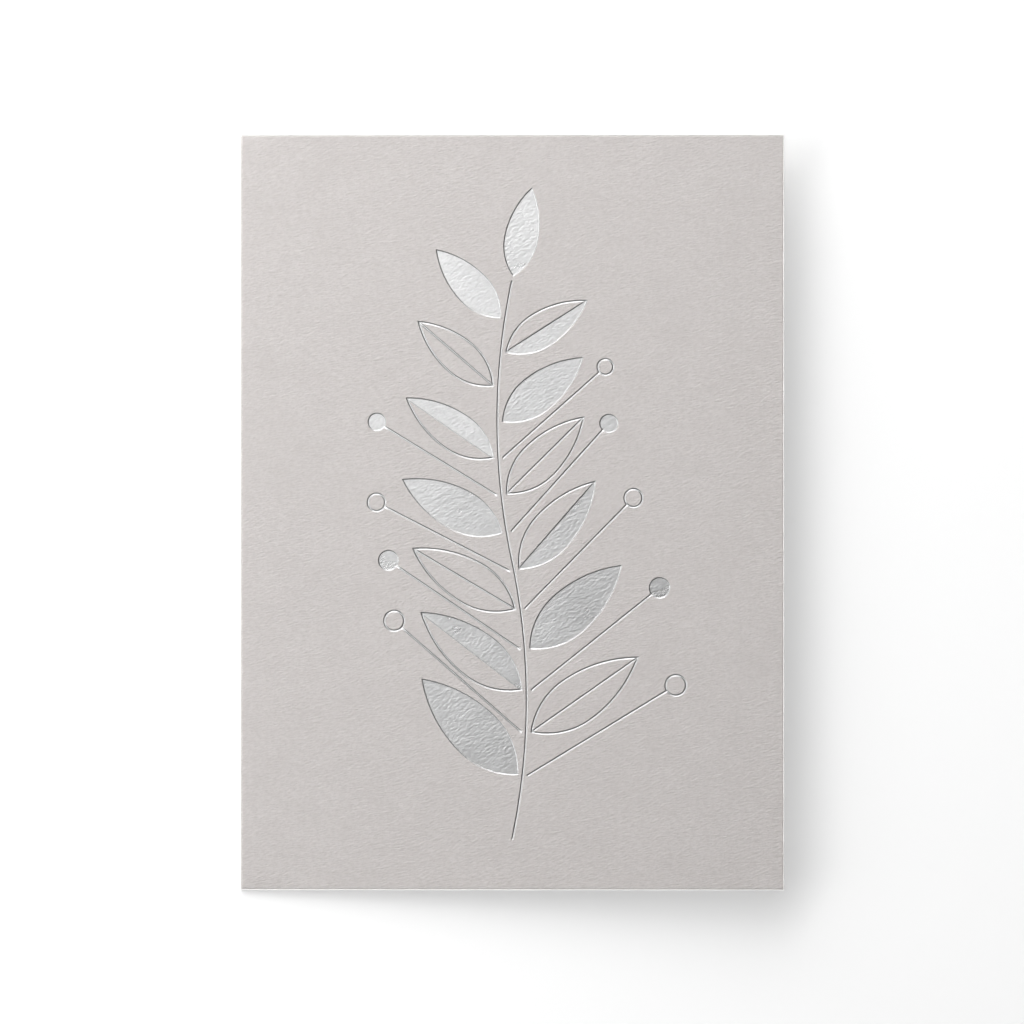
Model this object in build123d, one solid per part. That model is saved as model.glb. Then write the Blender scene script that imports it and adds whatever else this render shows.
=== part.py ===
from build123d import *
from math import atan2, cos, degrees, radians, sin
import os

# A folded greeting card that lies on its back panel with the fold on the left. The crease has sprung
# open a little, so the front panel rises towards its cut edge. A leafy sprig is pressed into the front,
# and a thin film of silver foil lines the floor of every pressed line and leaf. Millimetres, +Z up,
# +Y towards the top of the card, origin under the middle of the card on the face that it lies on.

# The folded sheet
PANEL_WIDTH = 114.6  # fold to cut edge, measured along the front panel
PANEL_HEIGHT = 158.8  # along the fold
STOCK = 0.42  # thickness of the felt-marked card
FOLD_INSIDE_RADIUS = 0.12
BEAD_RADIUS = 0.1  # ridge that the scoring rule raises along the inside of the fold
OPEN_ANGLE = 4.6  # slope of the front panel, degrees
SHOULDER_ANGLE = 2.4  # how much steeper the front panel leaves the fold, degrees
SHOULDER_LENGTH = 8.0  # length over which it bends down to its own slope
BACK_SETBACK = 0.7  # how far the back panel is trimmed short of the front panel
EDGE_EASE = 0.16  # outside corners rounded over by the trimming blade

# The pressed artwork
PRESS_DEPTH = 0.15  # face of the card down to the floor of a pressed line
FILM_THICKNESS = 0.03
LINE_WIDTH = 0.5
ART_MARGIN = 10.6  # top and bottom cut edges to the artwork
STEM_SWAY = 12.0  # lean of the stem at its foot, degrees either side of upright
STEM_BARE = 13.0  # foot of the stem up to the first leaf
STEM_CLEARANCE = 0.9  # stem to the base of a leaf or stalk
LEAF_LENGTH = 30.0
LEAF_WIDTH = 11.2
LEAF_BELLY = 0.42  # where a leaf is widest, as a share of its length
LEAF_ANGLE = 52.0  # between a leaf and the stem, degrees
STALK_LENGTH = 36.0
STALK_CLEARANCE = 1.5  # stalk to the leaves on either side of it
BERRY_RADIUS = 2.5
BERRY_COUNT = 9  # the young end of the stem above them bears leaves alone
TAPER = 0.36  # share of its size that a leaf or stalk has lost at the tip of the stem

# Derived sizes of the section
FOLD_OUTSIDE_RADIUS = FOLD_INSIDE_RADIUS + STOCK
LEAVING_ANGLE = OPEN_ANGLE + SHOULDER_ANGLE
SHOULDER_RADIUS = SHOULDER_LENGTH / radians(SHOULDER_ANGLE)
FLAT_LENGTH = PANEL_WIDTH - FOLD_OUTSIDE_RADIUS - SHOULDER_LENGTH
BACK_LENGTH = PANEL_WIDTH - FOLD_OUTSIDE_RADIUS - BACK_SETBACK

# Derived sizes of the artwork
TIP_SCALE = 1 - TAPER
STEM_HEIGHT = PANEL_HEIGHT - 2 * ART_MARGIN - LEAF_LENGTH * TIP_SCALE - STEM_CLEARANCE
STEM_RADIUS = STEM_HEIGHT / (4 * sin(radians(STEM_SWAY)))

FULL, OUTLINE, HALF = "full", "outline", "half"
LEAF_STYLES = (FULL, OUTLINE, HALF)  # in turn up the stem
BERRY_STYLES = (OUTLINE, OUTLINE, FULL, FULL)


def section_line(depth):
    """Line of the section at a depth under the outside, from the back's cut edge round to the front's."""
    back = Line((BACK_LENGTH, depth), (0, depth))
    fold = JernArc(back @ 1, back % 1, FOLD_OUTSIDE_RADIUS - depth, LEAVING_ANGLE - 180)
    shoulder = JernArc(fold @ 1, fold % 1, SHOULDER_RADIUS - depth, -SHOULDER_ANGLE)
    front = Line(shoulder @ 1, shoulder @ 1 + (shoulder % 1) * FLAT_LENGTH)
    return back, fold, shoulder, front


def folded_sheet():
    """Both panels in one piece, with the bead inside the crease and the outside corners eased."""
    outside = section_line(0)
    inside = section_line(STOCK)
    cut_ends = [Line(outside[0] @ 0, inside[0] @ 0), Line(outside[-1] @ 1, inside[-1] @ 1)]
    bead = Pos(*(inside[1] @ 0.5)) * Circle(BEAD_RADIUS)
    section = make_face([*outside, *inside, *cut_ends]) + bead
    sheet = extrude(Plane.XZ * section, PANEL_HEIGHT / 2, both=True)
    on_corners = [Vector(p.X, 0, p.Y) for p in (outside[0] @ 0, outside[-1] @ 1)]
    for line in outside:
        middle = line @ 0.5
        on_corners += [Vector(middle.X, y, middle.Y) for y in (-PANEL_HEIGHT / 2, PANEL_HEIGHT / 2)]
    corners = [sheet.edges().sort_by_distance(point)[0] for point in on_corners]
    return chamfer(corners, EDGE_EASE)


def front_plane():
    """Plane of the front panel's outside face, with its origin at the middle of the panel."""
    shoulder_end = section_line(0)[2] @ 1
    along = PANEL_WIDTH / 2 - FOLD_OUTSIDE_RADIUS - SHOULDER_LENGTH
    slope = radians(OPEN_ANGLE)
    x, z = shoulder_end.X + along * cos(slope), shoulder_end.Y + along * sin(slope)
    return Plane((x, 0, z), x_dir=(cos(slope), 0, sin(slope)), z_dir=(-sin(slope), 0, cos(slope)))


def stem_wire():
    """Centre line of the stem: an arc that bows right, then one that bows left, foot under tip."""
    foot = (0, ART_MARGIN - PANEL_HEIGHT / 2)
    lean = Vector(1, 0).rotate(Axis.Z, 90 - STEM_SWAY)
    lower = JernArc(foot, lean, STEM_RADIUS, 2 * STEM_SWAY)
    upper = JernArc(lower @ 1, lower % 1, STEM_RADIUS, -2 * STEM_SWAY)
    return Wire([lower, upper])


def leaf(style, scale):
    """A leaf along +X from its base, edged by four arcs that run level where it is widest."""
    base, tip = (0, 0), (LEAF_LENGTH * scale, 0)
    shoulder = (LEAF_LENGTH * LEAF_BELLY * scale, LEAF_WIDTH / 2 * scale)
    upper = [TangentArc(shoulder, base, tangent=(-1, 0)), TangentArc(shoulder, tip, tangent=(1, 0))]
    blade = make_face([*upper, *(arc.mirror(Plane.XZ) for arc in upper)])
    if style == FULL:
        return blade
    midrib = Rectangle(2 * LEAF_LENGTH, LINE_WIDTH)
    cells = offset(blade, -LINE_WIDTH) - midrib
    if style == HALF:
        cells = cells - Pos(0, -LEAF_WIDTH) * Rectangle(2 * LEAF_LENGTH, 2 * LEAF_WIDTH)
    return blade - cells


def berry(style, scale):
    """A round berry on a straight stalk that starts at the origin and runs along +X."""
    stalk_length = STALK_LENGTH * scale
    radius = BERRY_RADIUS * scale
    stalk = Pos(stalk_length / 2, 0) * Rectangle(stalk_length, LINE_WIDTH)
    middle = Pos(stalk_length + radius - LINE_WIDTH / 2, 0)
    shape = stalk + middle * Circle(radius)
    if style == FULL:
        return shape
    return shape - middle * Circle(radius - LINE_WIDTH)


def beside_stem(stem, along, side, shape):
    """A shape set off the stem at a distance from its foot, to its left (1), its right (-1) or ahead (0)."""
    heading = (stem % (along / stem.length)).rotate(Axis.Z, side * LEAF_ANGLE)
    slant = sin(radians(LEAF_ANGLE)) if side else 1
    base = stem @ (along / stem.length) + heading * (STEM_CLEARANCE / slant)
    return Pos(*base) * Rot(0, 0, degrees(atan2(heading.Y, heading.X))) * shape


def artwork():
    """The pressed shapes on the front, by the name of the foil that lines them."""
    stem = stem_wire()
    shapes = {"foil_stem": [trace(stem, LINE_WIDTH)], "foil_berries": []}
    along, side, count = STEM_BARE, 1, 0
    while along < stem.length - LEAF_WIDTH / 2:
        scale = 1 - TAPER * along / stem.length
        style = LEAF_STYLES[count % len(LEAF_STYLES)]
        blade = beside_stem(stem, along, side, leaf(style, scale))
        shapes.setdefault(f"foil_{style}_leaves", []).append(blade)
        if count < BERRY_COUNT:
            fruit = berry(BERRY_STYLES[count % len(BERRY_STYLES)], scale)
            shapes["foil_berries"].append(beside_stem(stem, along, -side, fruit))
        room = LEAF_WIDTH * scale + 2 * STALK_CLEARANCE + LINE_WIDTH
        along += room / sin(radians(LEAF_ANGLE)) / 2
        side, count = -side, count + 1
    shapes["foil_full_leaves"].append(beside_stem(stem, stem.length, 0, leaf(FULL, TIP_SCALE)))
    return shapes


def main():
    os.makedirs("parts", exist_ok=True)
    face = front_plane()
    sheet = folded_sheet()
    parts = {}
    for name, shapes in artwork().items():
        films = []
        for shape in shapes:
            sheet -= extrude(face * shape, -PRESS_DEPTH)
            films += extrude(face.offset(-PRESS_DEPTH) * shape, FILM_THICKNESS).solids()
        parts[name] = Compound(films)
    parts["folded_sheet"] = sheet
    box = sheet.bounding_box()
    to_origin = Pos(-(box.min.X + box.max.X) / 2, 0, 0)
    for name, shape in parts.items():
        export_step(to_origin * shape, f"parts/{name}.step")


main()
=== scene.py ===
from math import asin, ceil, cos, pi, radians, sin

import bmesh
import bpy
import numpy as np
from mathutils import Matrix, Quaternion, Vector
from mathutils.geometry import delaunay_2d_cdt


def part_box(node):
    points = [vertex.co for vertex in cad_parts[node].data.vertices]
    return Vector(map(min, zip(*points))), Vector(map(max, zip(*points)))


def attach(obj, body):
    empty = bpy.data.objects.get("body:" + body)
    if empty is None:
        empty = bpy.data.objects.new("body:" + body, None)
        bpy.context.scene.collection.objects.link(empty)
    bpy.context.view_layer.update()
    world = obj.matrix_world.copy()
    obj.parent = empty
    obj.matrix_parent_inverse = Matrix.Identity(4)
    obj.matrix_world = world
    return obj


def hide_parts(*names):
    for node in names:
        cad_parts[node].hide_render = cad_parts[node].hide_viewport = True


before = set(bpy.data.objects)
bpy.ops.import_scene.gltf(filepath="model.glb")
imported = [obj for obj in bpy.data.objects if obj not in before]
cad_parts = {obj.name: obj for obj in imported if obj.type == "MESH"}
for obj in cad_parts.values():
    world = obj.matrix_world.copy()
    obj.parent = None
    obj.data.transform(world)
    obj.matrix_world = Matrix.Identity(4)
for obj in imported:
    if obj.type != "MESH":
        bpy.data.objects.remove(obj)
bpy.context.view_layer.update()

# A folded greeting card that lies on its back panel, seen from straight above. The card is felt-marked
# stock with a warm grey print on its outside. A leafy sprig is pressed into its front and lined with
# silver foil. Mesh code works in millimetres, and its points on a flat sheet are complex numbers.

MM = 0.001

# The folded sheet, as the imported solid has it
SHEET_LOW, SHEET_HIGH = (np.array(corner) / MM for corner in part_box("folded_sheet"))
PANEL_HEIGHT = SHEET_HIGH[1] - SHEET_LOW[1]
PANEL_WIDTH = 114.6
STOCK = 0.42
FOLD_INSIDE_RADIUS = 0.12
BEAD_RADIUS = 0.1
OPEN_ANGLE = radians(4.6)
SHOULDER_ANGLE = radians(2.4)
SHOULDER_LENGTH = 8.0
BACK_SETBACK = 0.7

# The finish of its cut edges, each measured inwards from the edge or down from the outside
PRINT_EDGE = 0.45  # where the outside starts to dip
BARE_EDGE = 0.22  # where the print ends and the bare burr begins
BARE_DIP = 0.075
ROUND_WIDTH = 0.03
ROUND_TOP = 0.012
ROUND_FOOT = 0.08
INSIDE_EASE = 0.03

# The pressed artwork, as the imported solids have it
PRESS_DEPTH = 0.15
FILM_THICKNESS = 0.03
LINE_WIDTH = 0.5
ART_MARGIN = 10.6
STEM_SWAY = radians(12)
STEM_BARE = 13.0
STEM_CLEARANCE = 0.9
LEAF_LENGTH = 30.0
LEAF_WIDTH = 11.2
LEAF_BELLY = 0.42
LEAF_ANGLE = radians(52)
STALK_LENGTH = 36.0
STALK_CLEARANCE = 1.5
BERRY_RADIUS = 2.5
BERRY_COUNT = 9
TAPER = 0.36
FULL, OUTLINE, HALF = "full", "outline", "half"
LEAF_STYLES = (FULL, OUTLINE, HALF)
BERRY_STYLES = (OUTLINE, OUTLINE, FULL, FULL)

# The walls of the pressed artwork
LIP = 0.06  # how far outside the foil the face starts to dip
WALL = 0.225  # how far inside the foil's edge the floor begins

# The felt mark: its strokes, its tooth and its drift
STROKE_PITCH = 0.39 * MM
STROKE_SLANT = radians(34)
STROKE_LENGTH = 2.5  # times their width
STROKE_BEND = 0.12
TOOTH_SLANT = radians(8)
TOOTH_LENGTH = 7.0
TOOTH_FINENESS = 1.5  # times that of the strokes
TOOTH_DEPTH = 0.7  # times that of the strokes
DRIFT_LENGTH = 1.5
DRIFT_FINENESS = 0.07  # times that of the strokes
STROKE_SWELL = 0.85, 1.15  # depth of the strokes where the drift is low and where it is high
DRIFT_SPAN = 0.3, 0.7  # the values that the drift mostly takes
CREST_GAIN = 2.2

# The card stock
# The print's tone is painted darker in the felt's hollows and lighter on its crests: painted shade and
# highlight of the relief.
PRINT_TONES = (0.582, 0.549, 0.535), (0.652, 0.619, 0.606)  # in the felt's hollows and on its crests
STOCK_TONES = (0.885, 0.878, 0.862), (0.920, 0.914, 0.902)
CARD_ROUGHNESS = 0.82, 0.95  # from one end of the drift to the other
CARD_GLOSS = 0.3
CARD_RELIEF = 0.1 * MM
MOTTLE_NOISE = {"Scale": 420.0, "Detail": 4.0, "Roughness": 0.6}
MOTTLE_SHARE = 0.25  # of the print's tone, beside the felt's crests

# The silver foil, which bridges the finest of the felt mark, and is drawn over the walls. Its tone is
# painted lighter on the felt's crests as painted highlight, and darker on the walls as painted shade
FOIL_TONES = (0.87, 0.87, 0.87), (0.99, 0.99, 0.99)
FOIL_ROUGHNESS = 0.24, 0.34
FOIL_MARK = {"Pitch": 0.47 * MM, "Length": 1.8, "Tooth": 0.35}
FOIL_RELIEF = 0.034 * MM
# The foil on the walls is painted darker: painted shade that dims their reflections.
WALL_SHADE_TONE = (0.46, 0.46, 0.46)
STRETCHED_ROUGHNESS = 0.32

# The meshes: how far apart their points lie, and how they are joined
PANEL_STEP = 3.0
FOLD_STEP = 0.06
SHOULDER_STEP = 0.8
OUTLINE_STEP = 0.5
BERRY_STEP = 0.28
WALL_STEP = WALL / 6
JOIN_WITHIN = 0.001
SAME_PLACE = 1e-6
WITHIN_LOOPS = 1  # delaunay_2d_cdt's output type for the triangles inside the loops
SHARP_FROM = radians(50)

# Derived sizes of the section, from the back's cut edge round the fold to the front's cut edge
FOLD_OUTSIDE_RADIUS = FOLD_INSIDE_RADIUS + STOCK
LEAVING_ANGLE = OPEN_ANGLE + SHOULDER_ANGLE
SECTION_LENGTHS = np.array([
    PANEL_WIDTH - FOLD_OUTSIDE_RADIUS - BACK_SETBACK,
    FOLD_OUTSIDE_RADIUS * (pi - LEAVING_ANGLE),
    SHOULDER_LENGTH,
    PANEL_WIDTH - FOLD_OUTSIDE_RADIUS - SHOULDER_LENGTH,
])
SECTION_HEADINGS = np.array([pi, pi, LEAVING_ANGLE, OPEN_ANGLE, OPEN_ANGLE])
SECTION_START = SHEET_LOW[0] + FOLD_OUTSIDE_RADIUS + SECTION_LENGTHS[0]
FOLD_START, SHOULDER_START, FLAT_START, SECTION_END = np.cumsum(SECTION_LENGTHS)
ART_MIDDLE = FLAT_START + PANEL_WIDTH / 2 - FOLD_OUTSIDE_RADIUS - SHOULDER_LENGTH

# Derived sizes of the artwork
TIP_SCALE = 1 - TAPER
STEM_HEIGHT = PANEL_HEIGHT - 2 * ART_MARGIN - LEAF_LENGTH * TIP_SCALE - STEM_CLEARANCE
STEM_HALF = STEM_HEIGHT * STEM_SWAY / (2 * sin(STEM_SWAY))  # length of each of its two arcs
STEM_LENGTH = 2 * STEM_HALF
STEM_FOOT = 1j * (ART_MARGIN - PANEL_HEIGHT / 2)
STEM_HEADINGS = pi / 2 + STEM_SWAY * np.array([-1, 1, -1])

# The studio
FRAME_WIDTH = 215.36 * MM  # what the picture shows from side to side
FRAME_MIDDLE = (-0.105 * MM, 0.105 * MM)
LENS = 1200.0
SENSOR = 36.0
FLOOR_REACH = 6.0
FLOOR_TONE = (0.8, 0.8, 0.8)
FLOOR_GLOW = 0.35  # brings the lit floor up to white
LIGHT_DISTANCE = 1.45
SOFT_LIGHTS = (  # name, azimuth, elevation, size and radiance
    ("left light", radians(180), radians(17), (0.8, 0.8), 0.95),
    ("corner light", radians(128), radians(17), (0.9, 0.8), 1.85),
    ("low top light", radians(90), radians(17), (0.7, 0.8), 1.5),
    ("window light", radians(95), radians(42), (1.2, 1.0), 1.07),
    ("high light", radians(90), radians(68), (1.0, 1.0), 0.39),
)
STRIPS = (("near strip", 0.1, 0.58), ("far strip", 0.3, 4.3))  # name, reach along their row and radiance
STRIP_SIZE = (0.22, 1.2)
STRIP_HEIGHT = 0.5
STRIPS_FROM = -0.077  # the strips hang in a row that leads from here to the upper left
STRIPS_WAY = (-0.84, 0.54)
STRIPS_TURN = radians(-32.7)
WORLD_LIGHT_WAY = (-0.7, 0.7, 0)
WORLD_SIDES = 0.01, 0.4  # level on the side away from the light and on the side towards it
WORLD_OVERHEAD = 0.3  # share of that level straight overhead
WORLD_LOW, WORLD_HIGH = 0.4, 1.0  # heights from which and up to which it fades to that share
HORIZON_LEVEL = 0.3
HORIZON_LOW, HORIZON_HIGH = 0.38, 0.58  # heights between which the horizon's own light fades out


def spaced(start, end, step):
    """Evenly spaced values from start to end, no more than a step apart."""
    return np.linspace(start, end, ceil((end - start) / step) + 1)


def smoothstep(value):
    """Zero up to 0, one from 1 on, and 3v² - 2v³ between."""
    value = np.clip(value, 0, 1)
    return value * value * (3 - 2 * value)


def along_arcs(start, lengths, headings, distance):
    """Point and heading at a distance along a path of arcs that run on from each other.

    The heading changes evenly along an arc. The chord from an arc's start to a point of it is as long as
    the arc so far times sin(h) / h, where h is half the turn so far, and it leads h on from the start.
    """
    def chord(run, heading, turn):
        return run * np.sinc(turn / (2 * pi)) * np.exp(1j * (heading + turn / 2))

    marks = np.concatenate([[0], np.cumsum(lengths)])
    starts = start + np.concatenate([[0], np.cumsum(chord(lengths, headings[:-1], np.diff(headings)))])
    on = np.clip(np.searchsorted(marks, distance, side="right") - 1, 0, len(lengths) - 1)
    heading = np.interp(distance, marks, headings)
    return starts[on] + chord(distance - marks[on], headings[on], heading - headings[on]), heading


def folded(place, depth):
    """Where a place of the unfolded sheet, at a depth under its outside, lies on the folded card, in metres.

    The place's real part runs along the section and its imaginary part along the fold. The section's
    point moves by the depth to the right of the section's heading, which is into the stock.
    """
    point, heading = along_arcs(SECTION_START, SECTION_LENGTHS, SECTION_HEADINGS, place.real)
    point = point - 1j * depth * np.exp(1j * heading)
    return np.stack([point.real, place.imag, point.imag], axis=-1) * MM


def inside_depth(along):
    """Depth of the inside face: the stock, and at the middle of the fold the scoring bead on it.

    At an angle a from its middle, the bead is b·sqrt(1 - (a / w)²) high, where b is its radius and w the
    angle at which its circle meets the inside of the fold.
    """
    reach = 2 * asin(BEAD_RADIUS / (2 * FOLD_INSIDE_RADIUS))
    angle = (along - (FOLD_START + SHOULDER_START) / 2) / FOLD_OUTSIDE_RADIUS
    return STOCK + BEAD_RADIUS * np.sqrt(np.clip(1 - (angle / reach) ** 2, 0, 1))


def rounded_ramp(value, bend=0.1):
    """Zero up to 0, one from 1 on, and a straight slope between, whose ends are bent into parabolas.

    It is (B(v - b) - B(v - 1 + b)) / (1 - 2b), where B(w) is max(w, 0), but (w + b)² / 4b from -b to b.
    """
    def bent(reach):
        return np.where(np.abs(reach) < bend, (reach + bend) ** 2 / (4 * bend), np.maximum(reach, 0))

    return (bent(value - bend) - bent(value - 1 + bend)) / (1 - 2 * bend)


def pressed_depth(inset):
    """Depth of the pressed face at an inset from the foil's edge: a rounded ramp from lip to floor."""
    return (PRESS_DEPTH - FILM_THICKNESS) * rounded_ramp((inset + LIP) / (LIP + WALL))


def film_depth(inset):
    """Depth of the film's underside: under its face by the film's thickness, which fades out at its edge."""
    return pressed_depth(inset) + FILM_THICKNESS * smoothstep(inset / (WALL / 2))


def arc(start, end, turn, step=OUTLINE_STEP):
    """Points of an arc that turns left by the turn, from its start up to its end, which is left out.

    At the share t of the arc, the chord so far is the whole chord times sin(t·h) / sin(h), where h is half
    the turn, and it is swung back by (1 - t)·h.
    """
    half = turn / 2
    length = abs(end - start) / np.sinc(half / pi)
    share = spaced(0, 1, step / length)[:-1]
    reach = share * np.sinc(share * half / pi) / np.sinc(half / pi)
    return start + (end - start) * reach * np.exp(1j * (share - 1) * half)


def leaf_loops(style, scale):
    """Outlines of a leaf along the real axis from its base, with its foil on their left.

    The blade is four arcs that run level where it is widest, and a cell inside it is two arcs about the
    same centres, smaller by a line's width, cut off along the midrib.
    """
    length, half_width = LEAF_LENGTH * scale, LEAF_WIDTH / 2 * scale
    belly = length * LEAF_BELLY
    reach = np.array([belly, length - belly])
    turns = 2 * np.arctan2(half_width, reach)
    lower, upper = belly - 1j * half_width, belly + 1j * half_width
    loops = [np.concatenate([
        arc(0, lower, turns[0]),
        arc(lower, length, turns[1]),
        arc(length, upper, turns[1]),
        arc(upper, 0, turns[0]),
    ])]
    if style == FULL:
        return loops
    radii = (reach**2 + half_width**2) / (2 * half_width)
    rise = half_width - LINE_WIDTH * 1.5
    ends = np.sqrt((radii - LINE_WIDTH) ** 2 - (radii - LINE_WIDTH - rise) ** 2)
    back, front = belly - ends[0] + 0.5j * LINE_WIDTH, belly + ends[1] + 0.5j * LINE_WIDTH
    top = upper - 1j * LINE_WIDTH
    cell_turns = 2 * np.arctan2(rise, ends)
    cell = np.concatenate([
        arc(back, top, -cell_turns[0]),
        arc(top, front, -cell_turns[1]),
        arc(front, back, 0),
    ])
    loops.append(cell)
    if style == OUTLINE:
        loops.append(cell.conj()[::-1])
    return loops


def berry_loops(style, scale):
    """Outlines of a round berry on a straight stalk along the real axis, with their foil on their left."""
    stalk, radius, half_line = STALK_LENGTH * scale, BERRY_RADIUS * scale, 0.5j * LINE_WIDTH
    middle = stalk + radius - LINE_WIDTH / 2
    hidden = asin(LINE_WIDTH / 2 / radius)  # half the angle of the circle that the stalk takes up
    joint = middle - radius * np.cos(hidden)
    loops = [np.concatenate([
        arc(-half_line, joint - half_line, 0, 2 * OUTLINE_STEP),
        arc(joint - half_line, joint + half_line, 2 * (pi - hidden), BERRY_STEP),
        arc(joint + half_line, half_line, 0, 2 * OUTLINE_STEP),
        arc(half_line, -half_line, 0, LINE_WIDTH / 2),
    ])]
    if style == OUTLINE:
        hole = radius - LINE_WIDTH
        ends = middle - hole, middle + hole
        loops.append(np.concatenate([arc(*ends, -pi, BERRY_STEP), arc(*ends[::-1], -pi, BERRY_STEP)]))
    return loops


def stem_loops():
    """Outline of the stem: half a line's width right of its centre line, then back down on its left."""
    points, headings = along_arcs(STEM_FOOT, [STEM_HALF] * 2, STEM_HEADINGS, STEM_HALF * np.arange(3))
    aside = 0.5j * LINE_WIDTH * np.exp(1j * headings)
    right, left = points - aside, points + aside
    bow = 2 * STEM_SWAY
    return [np.concatenate([
        arc(right[0], right[1], bow),
        arc(right[1], right[2], -bow),
        arc(right[2], left[2], 0, LINE_WIDTH / 2),
        arc(left[2], left[1], bow),
        arc(left[1], left[0], -bow),
        arc(left[0], right[0], 0, LINE_WIDTH / 2),
    ])]


def beside_stem(distance, side, loops):
    """Loops set off the stem at a distance from its foot, to its left (1), its right (-1) or ahead (0)."""
    point, heading = along_arcs(STEM_FOOT, [STEM_HALF] * 2, STEM_HEADINGS, distance)
    way = np.exp(1j * (heading + side * LEAF_ANGLE))
    slant = sin(LEAF_ANGLE) if side else 1
    return [point + way * (STEM_CLEARANCE / slant + loop) for loop in loops]


def artwork():
    """The pressed shapes of the front, each a list of loops, by the name of the foil that lines them."""
    shapes = {"foil_stem": [stem_loops()], "foil_berries": []}
    distance, side, count = STEM_BARE, 1, 0
    while distance < STEM_LENGTH - LEAF_WIDTH / 2:
        scale = 1 - TAPER * distance / STEM_LENGTH
        style = LEAF_STYLES[count % len(LEAF_STYLES)]
        leaf = beside_stem(distance, side, leaf_loops(style, scale))
        shapes.setdefault(f"foil_{style}_leaves", []).append(leaf)
        if count < BERRY_COUNT:
            berry = berry_loops(BERRY_STYLES[count % len(BERRY_STYLES)], scale)
            shapes["foil_berries"].append(beside_stem(distance, -side, berry))
        room = LEAF_WIDTH * scale + 2 * STALK_CLEARANCE + LINE_WIDTH
        distance += room / sin(LEAF_ANGLE) / 2
        side, count = -side, count + 1
    shapes["foil_full_leaves"].append(beside_stem(STEM_LENGTH, 0, leaf_loops(FULL, TIP_SCALE)))
    return {
        name: [[ART_MIDDLE + loop for loop in shape] for shape in found] for name, found in shapes.items()
    }


def inset_rows(loop, insets):
    """A row of points for each inset: the loop moved to its left by that much, its corners kept mitred.

    A corner moves along the sum of the normals n and m of its two edges, divided by 1 + n·m.
    """
    edge = np.roll(loop, -1) - loop
    normal = 1j * edge / np.abs(edge)
    before = np.roll(normal, 1)
    way = (before + normal) / (1 + (before * normal.conj()).real)
    return loop + np.multiply.outer(insets, way)


def band_faces(rows, stations, closed=False):
    """Quads of a band of rows of points, facing the reader where its first row is on the left of its way."""
    row, station = np.meshgrid(np.arange(rows - 1), np.arange(stations - (not closed)), indexing="ij")
    here, there = row * stations + station, row * stations + (station + 1) % stations
    return np.stack([here, here + stations, there + stations, there], axis=-1).reshape(-1, 4)


def filled(loops, lattice=()):
    """Points and triangles of the area that lies inside an odd number of nested loops."""
    points = np.concatenate([*loops, lattice])
    marks = np.cumsum([0] + [len(loop) for loop in loops])
    # A loop that runs clockwise, which makes its area negative, is handed over backwards.
    areas = [np.sum((loop.conj() * np.roll(loop, -1)).imag) / 2 for loop in loops]
    rings = [list(range(a, b)[::-1 if area < 0 else 1]) for a, b, area in zip(marks, marks[1:], areas)]
    flat = np.stack([points.real, points.imag], axis=-1).tolist()
    found, _, triangles, _, _, within = delaunay_2d_cdt(flat, [], rings, WITHIN_LOOPS, SAME_PLACE)
    odd = np.array([len(rings_around) % 2 for rings_around in within], dtype=bool)
    used, corners = np.unique(np.array(triangles)[odd], return_inverse=True)
    return points[used], corners.reshape(-1, 3)


def side_of(values, ends):
    """One where a value is the last of the ends, minus one where it is the first, and zero between."""
    return (values == ends[-1]).astype(float) - (values == ends[0])


def border(along, across):
    """Points of a rectangle's border, anticlockwise from its first corner."""
    return np.concatenate([
        along[:-1] + 1j * across[0],
        along[-1] + 1j * across[:-1],
        along[:0:-1] + 1j * across[-1],
        along[0] + 1j * across[:0:-1],
    ])


def lattice_points(low, high, step, loops):
    """A triangular lattice between two corners, without what lies within half a step of a loop."""
    across = np.arange(low.imag + step / 2, high.imag - step / 2, step * 0.75**0.5)
    along = np.arange(low.real + step / 2, high.real - step / 2, step)
    lattice = (along + 1j * across[:, None] + step / 2 * (np.arange(len(across)) % 2)[:, None]).ravel()
    gaps = [np.abs(lattice[:, None] - loop).min(axis=1) for loop in loops]
    return lattice[np.min(gaps, axis=0) > step / 2]


class Skin:
    """A closed surface gathered from patches that share the points of their borders."""

    def __init__(self, finish_and_shade):
        # On the card the attribute marks the bare stock; on the foil it marks the walls, which take a
        # painted shade and more roughness.
        self.finish_and_shade = finish_and_shade  # name of the attribute that says how far a point has the finish
        self.points, self.shares, self.faces, self.smooth = [], [], [], []

    def add(self, points, faces, smooth=True, share=0.0):
        """Adds a patch of points and faces, with how far its points are the card's bare stock, or lie on the
        foil's walls with their painted shade.
        """
        points = points.reshape(-1, 3)
        self.faces += (faces + sum(map(len, self.points))).tolist()
        self.smooth += [smooth] * len(faces)
        self.points.append(points)
        self.shares.append(np.broadcast_to(share, len(points)))

    def piece(self, name, material):
        """A mesh object of the patches, joined along their borders."""
        mesh = bpy.data.meshes.new(name)
        mesh.from_pydata(np.concatenate(self.points), [], self.faces)
        shares = mesh.attributes.new(self.finish_and_shade, "FLOAT", "POINT")
        shares.data.foreach_set("value", np.concatenate(self.shares))
        joined = bmesh.new()
        joined.from_mesh(mesh)
        bmesh.ops.remove_doubles(joined, verts=joined.verts, dist=JOIN_WITHIN * MM)
        joined.to_mesh(mesh)
        joined.free()
        mesh.set_sharp_from_angle(angle=SHARP_FROM)
        mesh.polygons.foreach_set("use_smooth", self.smooth)
        mesh.materials.append(material)
        piece = bpy.data.objects.new(name, mesh)
        bpy.context.collection.objects.link(piece)
        return piece


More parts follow.
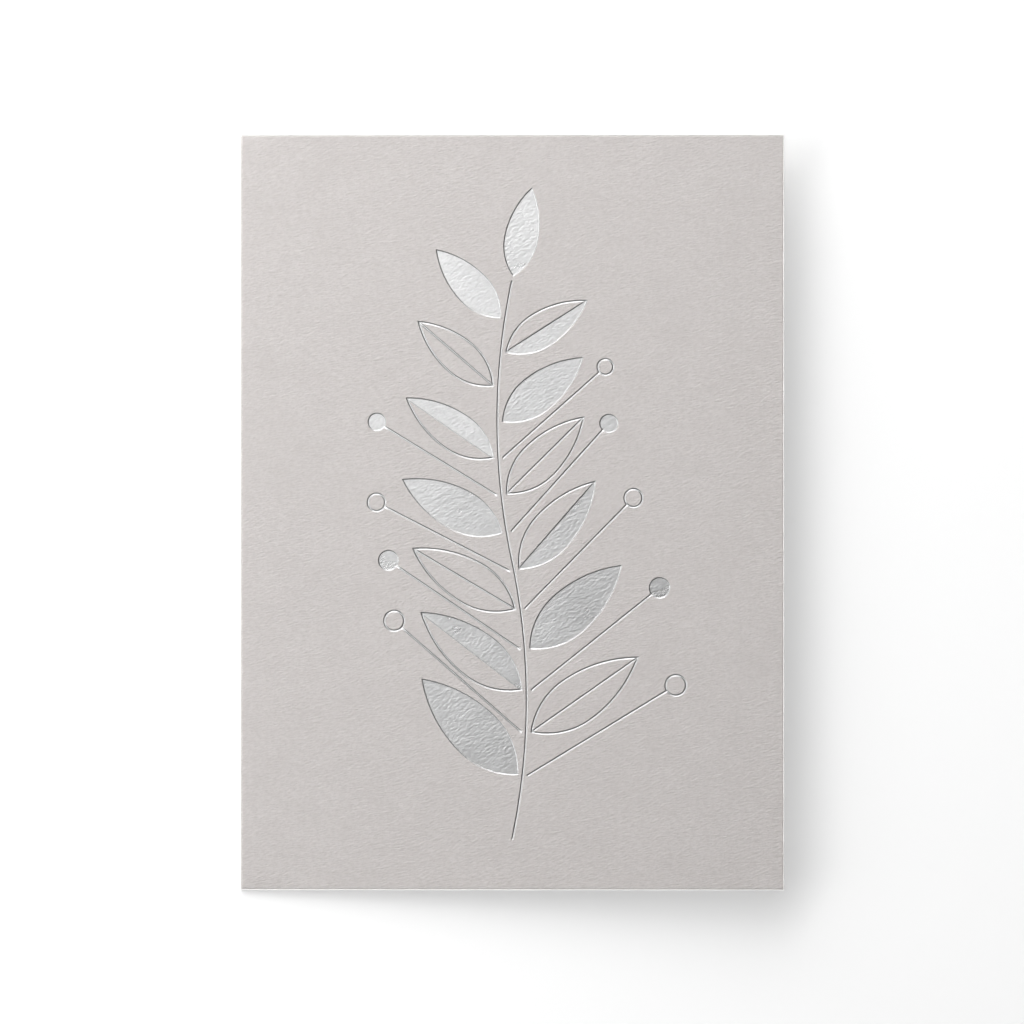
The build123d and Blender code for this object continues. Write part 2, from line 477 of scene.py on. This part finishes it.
def edge_profile():
    """Inset from a cut edge, dip under the outside and bareness, from the face out to the cut wall.

    The printed slope is a smooth step. The bare burr beyond it rises evenly, and it ends in a quarter of
    an ellipse, at 1 - sin(u) of its width from the edge and 1 - cos(u) of its height down.
    """
    slope = np.linspace(0, 1, 6)
    burr = np.array([0.03, 0.15, 0.85, 1.0])  # as shares of its width, close together at its ends
    turn = np.linspace(0, pi / 2, 5)[1:]
    inset = np.concatenate([
        PRINT_EDGE + (BARE_EDGE - PRINT_EDGE) * slope,
        BARE_EDGE + (ROUND_WIDTH - BARE_EDGE) * burr,
        ROUND_WIDTH * (1 - np.sin(turn)),
    ])
    dip = np.concatenate([
        BARE_DIP * smoothstep(slope),
        BARE_DIP + (ROUND_TOP - BARE_DIP) * burr,
        ROUND_TOP + (ROUND_FOOT - ROUND_TOP) * (1 - np.cos(turn)),
    ])
    return inset, dip, np.repeat([0.0, 1.0], [len(slope), len(burr) + len(turn)])


def card_skin(shapes):
    """The folded sheet: outside, pressed shapes, rolled and cut edges, and inside."""
    loops = [loop for found in shapes.values() for shape in found for loop in shape]
    turned = np.unique(np.concatenate([
        spaced(PRINT_EDGE, FOLD_START, PANEL_STEP),
        spaced(FOLD_START, SHOULDER_START, FOLD_STEP),
        spaced(SHOULDER_START, FLAT_START, SHOULDER_STEP),
    ]))
    flat = spaced(FLAT_START, SECTION_END - PRINT_EDGE, PANEL_STEP)
    along = np.concatenate([turned, flat[1:]])
    across = spaced(SHEET_LOW[1] + PRINT_EDGE, SHEET_HIGH[1] - PRINT_EDGE, PANEL_STEP)
    skin = Skin("bare stock")

    # Outside of the back, the fold and the shoulder
    skin.add(folded(turned + 1j * across[::-1, None], 0), band_faces(len(across), len(turned)))

    # Face of the front around the pressed shapes, with the islands inside them
    edge = border(flat, across)
    lips = [inset_rows(loop, [-LIP])[0] for loop in loops]
    low, high = flat[0] + 1j * across[0], flat[-1] + 1j * across[-1]
    places, corners = filled([edge, *lips], lattice_points(low, high, PANEL_STEP, [edge, *lips]))
    skin.add(folded(places, 0), corners, smooth=False)

    # Walls and floors of the pressed shapes, under their film
    insets = np.concatenate([spaced(0, WALL, WALL_STEP)[::-1], [-LIP / 2, -LIP]])
    for loop in loops:
        rows = inset_rows(loop, insets)
        skin.add(folded(rows, film_depth(insets)[:, None]), band_faces(*rows.shape, closed=True))
    for found in shapes.values():
        for shape in found:
            places, corners = filled([inset_rows(loop, [WALL])[0] for loop in shape])
            skin.add(folded(places, PRESS_DEPTH), corners, smooth=False)

    # Cut edges: a printed slope, a bare burr, a round, the cut wall and a slight ease at the inside
    edge = border(along, across)
    outward = side_of(edge.real, along) + 1j * side_of(edge.imag, across)
    inset, dip, bare = edge_profile()
    above_inside = inside_depth(edge.real) - np.array([[INSIDE_EASE], [0]])
    rows = edge + np.multiply.outer(PRINT_EDGE - np.concatenate([inset, [0, INSIDE_EASE]]), outward)
    depth = np.concatenate([np.broadcast_to(dip[:, None], (len(dip), len(edge))), above_inside])
    bare = np.repeat(np.concatenate([bare, [1, 1]]), len(edge))
    skin.add(folded(rows, depth), band_faces(*rows.shape, closed=True), share=bare)

    # Inside
    stretch = PRINT_EDGE - INSIDE_EASE
    along = along + stretch * side_of(along, along)
    across = across + stretch * side_of(across, across)
    places = along + 1j * across[:, None]
    skin.add(folded(places, inside_depth(places.real)), band_faces(*places.shape), share=1.0)
    return skin


def film_skin(shapes):
    """The foil in one group of shapes: a closed film, three hundredths of a millimetre thick, that lies on
    their walls and floors.
    """
    skin = Skin("wall_mask")
    insets = spaced(0, WALL, WALL_STEP)
    there_and_back = np.concatenate([insets[::-1], insets[1:]])
    depth = np.concatenate([pressed_depth(insets[::-1]), film_depth(insets[1:])])
    for shape in shapes:
        for loop in shape:
            rows = inset_rows(loop, there_and_back)
            on_wall = np.repeat(there_and_back < WALL, len(loop))
            skin.add(folded(rows, depth[:, None]), band_faces(*rows.shape, closed=True), share=on_wall)
        places, corners = filled([inset_rows(loop, [WALL])[0] for loop in shape])
        skin.add(folded(places, PRESS_DEPTH - FILM_THICKNESS), corners, smooth=False)
        skin.add(folded(places, PRESS_DEPTH), corners[:, ::-1], smooth=False)
    return skin


def add_node(tree, kind, inputs=None, **settings):
    """A node of a tree with its settings, and its inputs set to values or linked to other nodes' outputs."""
    node = tree.nodes.new(kind)
    for name, value in settings.items():
        setattr(node, name, value)
    for name, value in (inputs or {}).items():
        if isinstance(value, bpy.types.NodeSocket):
            tree.links.new(value, node.inputs[name])
        else:
            node.inputs[name].default_value = value
    return node


def maths(tree, operation, first, second=0.0):
    """The output of a Math node on two values or sockets."""
    return add_node(tree, "ShaderNodeMath", {0: first, 1: second}, operation=operation).outputs[0]


def ranged(tree, value, low, high, start=0.0, end=1.0):
    """The output of a Map Range node: from low to high while the value goes from start to end."""
    spread = {"Value": value, 1: start, 2: end, 3: low, 4: high}
    return add_node(tree, "ShaderNodeMapRange", spread).outputs[0]


def mixed(tree, share, first, second):
    """The output of a colour mix between two colours, each of them three numbers or a socket."""
    ends = [end if isinstance(end, bpy.types.NodeSocket) else (*end, 1) for end in (first, second)]
    inputs = {0: share, 6: ends[0], 7: ends[1]}
    return add_node(tree, "ShaderNodeMix", inputs, data_type="RGBA").outputs[2]


def felt_mark():
    """Group for the relief that the felt leaves on the card: short slanting strokes, and a level tooth.

    Both are noise, drawn out along their way. The strokes' depth drifts a little from place to place.
    Crests is the height about its middle, spread so that it mostly fills zero to one.
    """
    group = bpy.data.node_groups.new("felt mark", "ShaderNodeTree")
    defaults = {"Pitch": STROKE_PITCH, "Slant": STROKE_SLANT, "Length": STROKE_LENGTH, "Tooth": TOOTH_DEPTH}
    for name, default in defaults.items():
        socket = group.interface.new_socket(name, in_out="INPUT", socket_type="NodeSocketFloat")
        socket.default_value = default
    for name in ("Height", "Crests", "Drift"):
        group.interface.new_socket(name, in_out="OUTPUT", socket_type="NodeSocketFloat")
    given = add_node(group, "NodeGroupInput").outputs
    place = add_node(group, "ShaderNodeTexCoord").outputs["Object"]
    per_metre = maths(group, "DIVIDE", 1.0, given["Pitch"])

    def stretched_noise(slant, length, fineness, **settings):
        """Noise that is finer than the pitch by the fineness, and longer along a way by the length."""
        way = add_node(group, "ShaderNodeCombineXYZ", {"Z": slant}).outputs[0]
        size = add_node(group, "ShaderNodeCombineXYZ", {"X": length, "Y": 1.0, "Z": 1.0}).outputs[0]
        laid = {"Vector": place, "Rotation": way, "Scale": size}
        turned = add_node(group, "ShaderNodeMapping", laid, vector_type="TEXTURE").outputs[0]
        scale = maths(group, "MULTIPLY", per_metre, fineness)
        inputs = {"Vector": turned, "Scale": scale, **settings}
        return add_node(group, "ShaderNodeTexNoise", inputs).outputs["Fac"]

    strokes = stretched_noise(given["Slant"], given["Length"], 1.0, Detail=1.0, Distortion=STROKE_BEND)
    tooth = stretched_noise(TOOTH_SLANT, TOOTH_LENGTH, TOOTH_FINENESS, Detail=1.0)
    drift = stretched_noise(0.0, DRIFT_LENGTH, DRIFT_FINENESS, Detail=2.0)
    strokes = maths(group, "MULTIPLY", strokes, ranged(group, drift, *STROKE_SWELL, *DRIFT_SPAN))
    height = maths(group, "ADD", strokes, maths(group, "MULTIPLY", tooth, given["Tooth"]))
    middle = maths(group, "MULTIPLY", maths(group, "ADD", given["Tooth"], 1.0), 0.5)
    above = maths(group, "SUBTRACT", height, middle)
    crests = maths(group, "ADD", maths(group, "MULTIPLY", above, CREST_GAIN), 0.5)
    add_node(group, "NodeGroupOutput", {"Height": height, "Crests": crests, "Drift": drift})
    return group


def new_material(name):
    """A material and its own empty tree."""
    material = bpy.data.materials.new(name)
    material.use_nodes = True
    material.node_tree.nodes.clear()
    return material, material.node_tree


def principled(tree, colour, roughness, height, depth):
    """A Principled BSDF with a colour, a roughness and a relief of a depth, wired to the tree's output."""
    relief = add_node(tree, "ShaderNodeBump", {"Height": height, "Distance": depth}).outputs[0]
    inputs = {"Base Color": colour, "Roughness": roughness, "Normal": relief}
    shader = add_node(tree, "ShaderNodeBsdfPrincipled", inputs)
    add_node(tree, "ShaderNodeOutputMaterial", {"Surface": shader.outputs[0]})
    return shader


def card_stock(felt):
    """Uncoated felt-marked card: a warm grey print over natural white stock.

    The print is painted lighter on the felt's crests and darker in its hollows, as painted highlight and
    shade of the relief, and both it and the stock are faintly mottled.
    """
    material, tree = new_material("felt-marked card")
    mark = add_node(tree, "ShaderNodeGroup", node_tree=felt).outputs
    bare = add_node(tree, "ShaderNodeAttribute", attribute_name="bare stock").outputs["Fac"]
    place = add_node(tree, "ShaderNodeTexCoord").outputs["Object"]
    mottle = add_node(tree, "ShaderNodeTexNoise", {"Vector": place, **MOTTLE_NOISE}).outputs["Fac"]
    # Painted shade in the felt's hollows and painted highlight on its crests, mixed with random mottle.
    crest_shade_and_mottle = maths(tree, "MULTIPLY", mark["Crests"], 1 - MOTTLE_SHARE)
    crest_shade_and_mottle = maths(tree, "ADD", crest_shade_and_mottle, maths(tree, "MULTIPLY", mottle, MOTTLE_SHARE))
    colour = mixed(tree, bare, mixed(tree, crest_shade_and_mottle, *PRINT_TONES), mixed(tree, mottle, *STOCK_TONES))
    roughness = ranged(tree, mark["Drift"], *CARD_ROUGHNESS)
    shader = principled(tree, colour, roughness, mark["Height"], CARD_RELIEF)
    shader.inputs["Specular IOR Level"].default_value = CARD_GLOSS
    return material


def silver_foil(felt):
    """Bright silver stamped foil that takes up the felt mark of the card under it.

    It is painted brighter on the felt's crests, a painted highlight, and on the walls of the pressing it is
    rougher and painted darker, a painted shade that dims what they reflect.
    """
    material, tree = new_material("silver foil")
    mark = add_node(tree, "ShaderNodeGroup", FOIL_MARK, node_tree=felt).outputs
    wall_mask = add_node(tree, "ShaderNodeAttribute", attribute_name="wall_mask").outputs["Fac"]
    # Painted highlight on the felt's crests, and painted shade on the walls.
    tone = mixed(tree, wall_mask, mixed(tree, mark["Crests"], *FOIL_TONES), WALL_SHADE_TONE)
    sheen = ranged(tree, mark["Drift"], *FOIL_ROUGHNESS)
    roughness = ranged(tree, wall_mask, sheen, STRETCHED_ROUGHNESS)
    shader = principled(tree, tone, roughness, mark["Height"], FOIL_RELIEF)
    shader.inputs["Metallic"].default_value = 1.0
    return material


def studio_floor():
    """A pale floor that the camera and reflections see as white, and that still takes the card's shadow."""
    mesh = bpy.data.meshes.new("studio_floor")
    corners = [(FLOOR_REACH * x, FLOOR_REACH * y, 0) for x, y in ((-1, -1), (1, -1), (1, 1), (-1, 1))]
    mesh.from_pydata(corners, [], [(0, 1, 2, 3)])
    material, tree = new_material("studio floor")
    paths = add_node(tree, "ShaderNodeLightPath").outputs
    seen = maths(tree, "MAXIMUM", paths["Is Camera Ray"], paths["Is Glossy Ray"])
    seen = maths(tree, "MAXIMUM", seen, paths["Is Transmission Ray"])
    strength = maths(tree, "MULTIPLY", seen, FLOOR_GLOW)
    glow = add_node(tree, "ShaderNodeEmission", {"Color": (1, 1, 1, 1), "Strength": strength})
    matt = add_node(tree, "ShaderNodeBsdfDiffuse", {"Color": (*FLOOR_TONE, 1)})
    both = add_node(tree, "ShaderNodeAddShader", {0: matt.outputs[0], 1: glow.outputs[0]})
    add_node(tree, "ShaderNodeOutputMaterial", {"Surface": both.outputs[0]})
    mesh.materials.append(material)
    floor = bpy.data.objects.new("studio_floor", mesh)
    bpy.context.collection.objects.link(floor)


def soft_light(name, place, size, radiance, aim=(0, 0, 0), turn=0.0):
    """A rectangle of soft light that the camera doesn't see, aimed at a point and turned on its axis.

    Its energy is its radiance times pi times its area.
    """
    light = bpy.data.lights.new(name, "AREA")
    light.shape = "RECTANGLE"
    light.size, light.size_y = size
    light.energy = radiance * pi * size[0] * size[1]
    lamp = bpy.data.objects.new(name, light)
    lamp.location = place
    facing = (Vector(place) - Vector(aim)).to_track_quat("Z", "Y")
    lamp.rotation_euler = (facing @ Quaternion((0, 0, 1), turn)).to_euler()
    lamp.visible_camera = False
    bpy.context.collection.objects.link(lamp)


def seen_from_card(azimuth, elevation, distance):
    """A place at a distance from the card, by its direction: azimuth from +X and height over the floor."""
    level = distance * cos(elevation)
    return level * cos(azimuth), level * sin(azimuth), distance * sin(elevation)


def studio_world():
    """A plain surround: lighter towards the upper left and at the horizon, darker overhead."""
    world = bpy.data.worlds.new("studio")
    world.use_nodes = True
    tree = world.node_tree
    way = add_node(tree, "ShaderNodeTexCoord").outputs["Generated"]
    both = {0: way, 1: WORLD_LIGHT_WAY}
    lean = add_node(tree, "ShaderNodeVectorMath", both, operation="DOT_PRODUCT").outputs["Value"]
    height = add_node(tree, "ShaderNodeSeparateXYZ", {0: way}).outputs["Z"]
    sides = ranged(tree, lean, *WORLD_SIDES, -1.0, 1.0)
    overhead = ranged(tree, height, 1.0, WORLD_OVERHEAD, WORLD_LOW, WORLD_HIGH)
    horizon = ranged(tree, height, HORIZON_LEVEL, 0.0, HORIZON_LOW, HORIZON_HIGH)
    level = maths(tree, "ADD", maths(tree, "MULTIPLY", sides, overhead), horizon)
    tree.links.new(level, tree.nodes["Background"].inputs["Strength"])
    tree.nodes["Background"].inputs["Color"].default_value = (1, 1, 1, 1)
    return world


def studio():
    """Floor, soft lights from the upper left, a plain world and the camera straight above the card."""
    studio_floor()
    for name, azimuth, elevation, size, radiance in SOFT_LIGHTS:
        soft_light(name, seen_from_card(azimuth, elevation, LIGHT_DISTANCE), size, radiance)
    for name, reach, radiance in STRIPS:
        x, y = STRIPS_FROM + STRIPS_WAY[0] * reach, STRIPS_WAY[1] * reach
        soft_light(name, (x, y, STRIP_HEIGHT), STRIP_SIZE, radiance, (x, y, 0), STRIPS_TURN)
    bpy.context.scene.world = studio_world()

    camera = bpy.data.cameras.new("camera")
    camera.lens = LENS
    camera.sensor_width = SENSOR
    distance = FRAME_WIDTH * LENS / SENSOR
    holder = bpy.data.objects.new("camera", camera)
    holder.location = (*FRAME_MIDDLE, distance)
    bpy.context.collection.objects.link(holder)
    bpy.context.scene.camera = holder
    bpy.context.scene.view_settings.view_transform = "Standard"


def main():
    shapes = artwork()
    felt = felt_mark()
    stock, foil = card_stock(felt), silver_foil(felt)
    card = card_skin(shapes).piece("card", stock)
    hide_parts("folded_sheet")
    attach(card, "root")
    for node, found in shapes.items():
        film = film_skin(found).piece(node.replace("foil_", "silver_"), foil)
        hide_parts(node)
        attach(film, "root")
    studio()


main()
